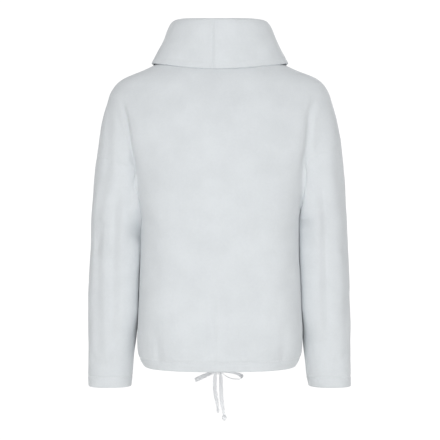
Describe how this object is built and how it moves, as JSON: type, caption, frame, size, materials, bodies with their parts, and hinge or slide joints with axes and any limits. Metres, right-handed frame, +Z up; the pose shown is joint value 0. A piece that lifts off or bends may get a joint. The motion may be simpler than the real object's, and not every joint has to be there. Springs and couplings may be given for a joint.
{
  "type": "fleece top, a funnel-neck pullover with a drawstring hem, worn form",
  "caption": "White fleece pullover with dropped shoulders, a deep fold-over funnel collar, long sleeves and a hem drawn in by a tape tied in a bow.",
  "frame": {"origin": "in the middle of the neck opening, at the level where the neck points of the shoulders rest on the wearer", "axes": "+Z up, the wearer faces -Y, +X towards the wearer's left sleeve"},
  "size_m": [0.5354, 0.2643, 0.8331],
  "materials": {
    "fleece": "matt",
    "cotton_tape": "matt"
  },
  "bodies": {
    "root": {"back_panel": "fleece", "front_panel": "fleece", "sleeve_left": "fleece", "sleeve_right": "fleece", "collar": "fleece", "bow_knot": "cotton_tape", "tape_lead_left": "cotton_tape", "tape_lead_right": "cotton_tape", "bow_loop_left": "cotton_tape", "bow_loop_right": "cotton_tape", "tape_tail_left": "cotton_tape", "tape_tail_right": "cotton_tape", "tape_end_left": "cotton_tape", "tape_end_right": "cotton_tape"}
  },
  "joints": []
}
